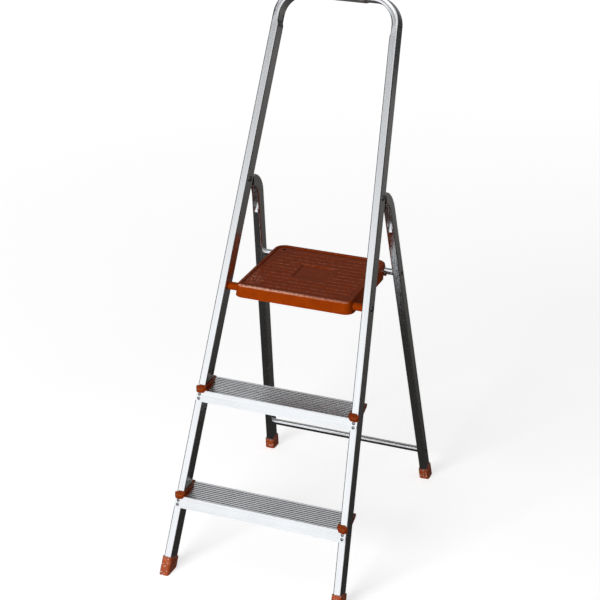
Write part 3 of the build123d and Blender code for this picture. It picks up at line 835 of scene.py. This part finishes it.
def bent_path(start, heading, runs, turns, radius, extra=()):
    """Stations of runs joined by bends: distance, place, heading and share of the bend at each.

    The heading is interpolated between the bends' ends. A step from one station to the next is the
    chord 2 r sin(half turn), in the middle heading. The share runs from 0 to 1 through each bend. Extra
    distances become stations too.
    """
    lengths = [runs[0]]
    for run, turn_angle in zip(runs[1:], turns):
        lengths += [radius * abs(turn_angle), run]
    knots = np.concatenate([[0.0], np.cumsum(lengths)])
    turned = np.concatenate([[0.0], np.cumsum(turns)])
    knot_heading = heading + np.repeat(turned, 2)
    pieces = [
        np.linspace(low, high, max(2, round((high - low) / step)))
        for low, high, step in zip(knots, knots[1:], [RUN_STEP, BEND_STEP] * len(runs))
    ]
    stations = np.concatenate(pieces + [np.asarray(extra, float)])
    distance = np.unique(np.round(stations, STATION_DIGITS))
    headings = np.interp(distance, knots, knot_heading)
    half_turn = np.diff(headings) / 2
    chord = np.diff(distance) * np.sinc(half_turn / math.pi)
    middle = headings[:-1] + half_turn
    steps = chord[:, None] * np.stack([np.cos(middle), np.sin(middle)], axis=-1)
    place = start + np.concatenate([np.zeros((1, 2)), np.cumsum(steps, axis=0)])
    share = np.zeros(len(distance))
    for low, high in zip(knots[1::2], knots[2::2]):
        inside = (distance > low) & (distance < high)
        share[inside] = (distance[inside] - low) / (high - low)
    return distance, place, headings, share


def carried(place, headings, profile):
    """Rings in the path's own plane: place plus height along the left normal; the width stays apart.

    profile has one set of points for each station. The result's three numbers are the two of the
    plane and the one across it.
    """
    left = np.stack([-np.sin(headings), np.cos(headings)], axis=-1)
    flat = place[:, None, :] + profile[:, :, :1] * left[:, None, :]
    return np.concatenate([flat, profile[:, :, 1:]], axis=-1)


print("profile", 4 * SIDE_POINTS, "points")

# %% [markdown]
# The rings become one skin of quads. Its UV map holds metres round the tube and along it, for the
# drawn lines. An inner skin could be computed as well, but a Solidify modifier gives the wall of a real
# tube with less work, and a small bevel takes the sharpness off the cut ends.

# %% Skin and wall
TUBE_WALL = 0.0015
WALL_INWARDS = -1.0
DEBURR_WIDTH = 0.0003
DEBURR_SEGMENTS = 2
deburr_angle = math.radians(50.0)


def skin_mesh(name, rings, along, around, cut_out=None):
    """Quads between neighbouring points of neighbouring rings, the last point joined to the first.

    cut_out marks the quads, ring by point, that are left open.
    """
    stations, count = rings.shape[:2]
    row = np.arange(stations - 1)[:, None] * count
    point = np.arange(count)[None, :]
    beside = (point + 1) % count
    quads = np.stack([row + point, row + beside, row + count + beside, row + count + point], axis=-1)
    u = np.stack([around[:-1], around[1:], around[1:], around[:-1]], axis=-1)[None, :, :]
    v = np.stack([along[:-1], along[:-1], along[1:], along[1:]], axis=-1)[:, None, :]
    uv = np.stack(np.broadcast_arrays(u, v), axis=-1)
    if cut_out is not None:
        quads, uv = quads[~cut_out], uv[~cut_out]
    mesh = bpy.data.meshes.new(name)
    mesh.from_pydata(rings.reshape(-1, 3).tolist(), [], quads.reshape(-1, 4).tolist())
    mesh.uv_layers.new(name="UVMap").data.foreach_set("uv", uv.reshape(-1))
    mesh.polygons.foreach_set("use_smooth", np.ones(len(mesh.polygons), bool))
    mesh.update()
    return mesh


def tube_piece(mesh, body, node):
    """Tube with a wall that rides on a body, stands for one CAD node and takes over its finish."""
    mesh.materials.append(frame["nodes"][node].data.materials[0])
    piece = bpy.data.objects.new(mesh.name, mesh)
    scene.collection.objects.link(piece)
    wall = piece.modifiers.new("wall", "SOLIDIFY")
    wall.thickness = TUBE_WALL
    wall.offset = WALL_INWARDS
    wall.use_even_offset = True
    deburr = piece.modifiers.new("deburr", "BEVEL")
    deburr.width = DEBURR_WIDTH
    deburr.segments = DEBURR_SEGMENTS
    deburr.limit_method = "ANGLE"
    deburr.angle_limit = deburr_angle
    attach(piece, body)
    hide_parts(node)


print("tube wall", 1000 * TUBE_WALL, "mm")

# %% [markdown]
# The front frame is one long tube in one leaning plane. Its path runs up the right stile, round the
# handrail and down the left stile, as the tube would be fed through a bender. The same lengths as in
# the CAD source put it on the solid it replaces.

# %% Path of the front frame
front_lean = math.radians(23.4)
overall_height = 1.253
floor_spacing = 0.418
rail_spacing = 0.273
rail_bend_radius = 0.058
stile_width = 0.018
stile_depth = 0.038
stile_corner = 0.003
foot_sole = 0.006
slot_above_hinge = 0.0087
slot_below_hinge = 0.0246

slope_up = np.array([0.0, math.sin(front_lean), math.cos(front_lean)])
slope_out = np.array([0.0, -math.cos(front_lean), math.sin(front_lean)])
hinge_place = np.array(joints["rear_fold"]["pos_m"], float)
hinge_slope = hinge_place[2] / math.cos(front_lean)
plane_foot = hinge_place - slope_up * hinge_slope

rail_top_reach = (
    (stile_width / 2 - stile_corner) * math.cos(front_lean)
    + (stile_depth / 2 - stile_corner) * math.sin(front_lean)
    + stile_corner
)
rail_slope = (overall_height - rail_top_reach) / math.cos(front_lean)
splay = math.atan((floor_spacing - rail_spacing) / 2 / rail_slope)
end_slope = (
    foot_sole
    + stile_depth / 2 * math.sin(front_lean)
    + stile_width / 2 * math.sin(splay) * math.cos(front_lean)
) / math.cos(front_lean)


def up_the_stile(slope):
    """Distance along the stile from its lower end to a distance up the slope."""
    return (slope - end_slope) / math.cos(splay)


stile_turn = math.pi / 2 - splay
bend_length = rail_bend_radius * stile_turn
bend_take = rail_bend_radius * math.tan(stile_turn / 2)
stile_run = up_the_stile(rail_slope) - bend_take
rail_run = rail_spacing - 2 * bend_take
path_total = 2 * stile_run + rail_run + 2 * bend_length
slot_low = up_the_stile(hinge_slope - slot_below_hinge)
slot_high = up_the_stile(hinge_slope + slot_above_hinge)
front_along, front_place, front_heading, front_share = bent_path(
    np.array([floor_spacing / 2 - end_slope * math.tan(splay), end_slope]),
    math.pi / 2 + splay,
    [stile_run, rail_run, stile_run],
    [stile_turn, stile_turn],
    rail_bend_radius,
    extra=[slot_low, slot_high, path_total - slot_high, path_total - slot_low],
)
print("front tube", round(path_total, 3), "m long,", len(front_along), "stations")

# %% [markdown]
# A rectangular tube doesn't bend without a trace. The bending die has pushed the inner wall in, all
# through the bend and a little way past it, where the push ends in a short ramp. The outer wall is
# drawn in towards the middle, and the front and rear walls bulge. Sculpting could press these marks in.
# Here each is a smooth bump that is added to the profile, station by station, so both bends are alike.

# %% Marks of the bends
OUTER_DRAW = 0.0016
WALL_PUSH = 0.0024
CROWN_PUSH = 0.0016
PUSH_PAST_BEND = 0.026
PUSH_RAMP = 0.009
SIDE_BULGE = 0.0009
BULGE_PAST_BEND = 0.020


def soft_step(value):
    """0 below 0 and 1 above 1, with the cubic 3 t t - 2 t t t between."""
    t = np.clip(value, 0.0, 1.0)
    return t * t * (3 - 2 * t)


def crowned(offset, half):
    """Crown over a flat: 1 minus the square of offset over half, and 0 past the flat's ends."""
    return np.clip(1 - (offset / half) ** 2, 0.0, None)


def through_bends(past_bend, ramp):
    """Window over both bends and a little past them: up over a ramp at its start, down at its end."""
    return sum(
        soft_step((front_along - start + past_bend) / ramp)
        * soft_step((start + bend_length + past_bend - front_along) / ramp)
        for start in (stile_run, stile_run + bend_length + rail_run)
    )


stile_profile, stile_around = tube_profile(stile_width, stile_depth, stile_corner)
in_plane, across = stile_profile[:, 0], stile_profile[:, 1]
crown = crowned(across, stile_depth / 2 - stile_corner)
outer_side = np.clip(-in_plane / (stile_width / 2), 0.0, 1.0) * crown
inner_side = np.clip(in_plane / (stile_width / 2), 0.0, 1.0)
side_crown = crowned(in_plane, stile_width / 2 - stile_corner)
side_crown *= np.sign(across) * (np.abs(across) > stile_depth / 2 - stile_corner)
bend_bump = np.sin(math.pi * front_share)
push = through_bends(PUSH_PAST_BEND, PUSH_RAMP)
bulge = through_bends(BULGE_PAST_BEND, BULGE_PAST_BEND)
front_profile = np.repeat(stile_profile[None], len(front_along), axis=0)
front_profile[:, :, 1] += SIDE_BULGE * bulge[:, None] * side_crown
front_profile[:, :, 0] += OUTER_DRAW * bend_bump[:, None] * outer_side
front_profile[:, :, 0] -= push[:, None] * inner_side * (WALL_PUSH + CROWN_PUSH * crown)
print("inner wall pushed in by", round(1000 * (WALL_PUSH + CROWN_PUSH), 1), "mm")

# %% [markdown]
# The rings are now tilted into the leaning plane. A slot is left open behind each hinge, where the
# hook's tongue goes in. On the real tube it is milled. A boolean could cut it, but leaving out the
# quads between two stations keeps the mesh clean.

# %% Front frame tube
SLOT_CORNER_QUADS = 2

flat_rings = carried(front_place, front_heading, front_profile)
front_rings = (
    plane_foot
    + flat_rings[:, :, :1] * np.array([1.0, 0.0, 0.0])
    + flat_rings[:, :, 1:2] * slope_up
    + flat_rings[:, :, 2:] * slope_out
)
middle_along = (front_along[:-1] + front_along[1:]) / 2
from_end = np.minimum(middle_along, path_total - middle_along)
slot_rows = (from_end > slot_low) & (from_end < slot_high)
rear_corner = 2 * SIDE_POINTS
first_slot_point = rear_corner + CORNER_STEPS - SLOT_CORNER_QUADS
slot_points = np.zeros(len(stile_profile), bool)
slot_points[first_slot_point:rear_corner + SIDE_POINTS + SLOT_CORNER_QUADS] = True
front_mesh = skin_mesh(
    "front_tube", front_rings, front_along, stile_around, slot_rows[:, None] & slot_points[None, :]
)
tube_piece(front_mesh, "front_frame", "front_frame_tube")
print("front tube", len(front_mesh.polygons), "quads")

# %% [markdown]
# A rear leg is a straight tube whose top is bent forward into a hook that reaches the hinge. It is
# computed in a frame of its own: X points from the hinge straight back from the stile, Z outwards along
# the hinge pin, and Y across both. In that frame the leg is a short reach, one bend and a long run, so
# the path helper serves it as it serves the front frame.

# %% Path of a rear leg
leg_turn = math.radians(4.33)
leg_width = 0.019
leg_depth = 0.028
leg_corner = 0.003
leg_bend_radius = 0.066
hook_reach = 0.0339
hook_turn = math.radians(52.5)
clear_of_mitre = math.radians(4.0)
HOOK_PUSH_PAST = 0.049
HOOK_RAMP_OUT = 0.034
RAMP_STATIONS = 24
PAST_RAMP = 0.0008

leg_x = -slope_out
leg_z = np.array([
    math.cos(leg_turn),
    math.sin(front_lean) * math.sin(leg_turn),
    math.cos(front_lean) * math.sin(leg_turn),
])
leg_y = np.cross(leg_z, leg_x)
hinge_point = hinge_place + np.array([floor_spacing / 2 - hinge_slope * math.tan(splay), 0.0, 0.0])
leg_down = leg_x * math.cos(hook_turn) - leg_y * math.sin(hook_turn)
leg_back = leg_x * math.sin(hook_turn) + leg_y * math.cos(hook_turn)
leg_end_height = foot_sole + abs(leg_back[2]) * leg_depth / 2 + abs(leg_z[2]) * leg_width / 2
hook_take = leg_bend_radius * math.tan(hook_turn / 2)
elbow_height = hinge_point[2] + leg_x[2] * (hook_reach + hook_take)
leg_run = (leg_end_height - elbow_height) / leg_down[2] - hook_take

push_end = hook_reach + leg_bend_radius * hook_turn + HOOK_PUSH_PAST
leg_stations = bent_path(
    np.zeros(2), 0.0, [hook_reach, leg_run], [-hook_turn], leg_bend_radius,
    extra=push_end - np.linspace(-PAST_RAMP, HOOK_RAMP_OUT, RAMP_STATIONS),
)
past_mitre = leg_stations[0] >= hook_reach + leg_bend_radius * clear_of_mitre
leg_along, leg_place, leg_heading, leg_share = [values[past_mitre] for values in leg_stations]
print("leg run", round(leg_run, 3), "m,", len(leg_along), "stations")

# %% [markdown]
# On a rear leg the die has pressed a deep groove into the hook's inner wall, which ends in a ramp below
# the bend. Bump in the material could hint at it, but a groove this deep catches light and shade of its
# own, so the wall itself is moved. The ramp is a quarter of a sine: flat where it leaves the groove, and
# steepest at its sharp lower end. The outer wall is drawn in a little, as on the handrail.

# %% Groove in the hook
LEG_DRAW = 0.0008
HOOK_PUSH = 0.013
HOOK_RAMP_IN = 0.030
GROOVE_POWER = 0.9
PLUG_CLEAR = 0.008

leg_profile, leg_around = tube_profile(leg_depth, leg_width, leg_corner)
leg_crown = crowned(leg_profile[:, 1], leg_width / 2 - leg_corner)
leg_outer = np.clip(leg_profile[:, 0] / (leg_depth / 2), 0.0, 1.0) * leg_crown
leg_inner = np.clip(-leg_profile[:, 0] / (leg_depth / 2), 0.0, 1.0) * leg_crown ** GROOVE_POWER
ramp_in = soft_step((leg_along - hook_reach - PLUG_CLEAR) / HOOK_RAMP_IN)
ramp_share = np.clip((push_end - leg_along) / HOOK_RAMP_OUT, 0.0, 1.0)
hook_push = ramp_in * np.sin(math.pi / 2 * ramp_share)
leg_profiles = np.repeat(leg_profile[None], len(leg_along), axis=0)
leg_profiles[:, :, 0] -= LEG_DRAW * np.sin(math.pi * leg_share)[:, None] * leg_outer
leg_profiles[:, :, 0] += HOOK_PUSH * hook_push[:, None] * leg_inner
leg_flat = carried(leg_place, leg_heading, leg_profiles)
print("groove", round(1000 * HOOK_PUSH * hook_push.max(), 1), "mm deep")

# %% [markdown]
# The hook's mouth is mitred, so that it lies against the stile both open and folded. The first ring is
# that mitre: the stile's rear face is one plane when the ladder is open and another when it is folded,
# and each point starts at the one that lies farther from the hinge. A few rings lead from there to the
# bend. The left leg is the right one mirrored, with its points counted the other way round so that the
# faces still look outwards.

# %% Rear legs
stile_gap = 0.0006
mitre_rings = 4
fold = math.radians(-joints["rear_fold"]["range_deg"][0])

mitre_reach = stile_depth / 2 + stile_gap
folded_reach = (mitre_reach - leg_profile[:, 0] * math.sin(fold)) / math.cos(fold)
mitre = np.concatenate([np.maximum(mitre_reach, folded_reach)[:, None], leg_profile], axis=1)
mitre_share = np.linspace(0.0, 1.0, mitre_rings, endpoint=False)[:, None, None]
leg_flat = np.concatenate([mitre + mitre_share * (leg_flat[0] - mitre), leg_flat])
mitre_along = np.linspace(mitre_reach, leg_along[0], mitre_rings, endpoint=False)
leg_along = np.concatenate([mitre_along, leg_along])
right_rings = hinge_point + leg_flat @ np.stack([leg_x, leg_y, leg_z])
left_rings = right_rings[:, ::-1] * np.array([-1.0, 1.0, 1.0])

right_mesh = skin_mesh("right_leg_tube", right_rings, leg_along, leg_around)
left_mesh = skin_mesh("left_leg_tube", left_rings, leg_along, leg_around)
tube_piece(right_mesh, "rear_frame", "right_rear_leg")
tube_piece(left_mesh, "rear_frame", "left_rear_leg")
print("leg", round(leg_along[-1], 3), "m long,", len(right_mesh.polygons), "quads")
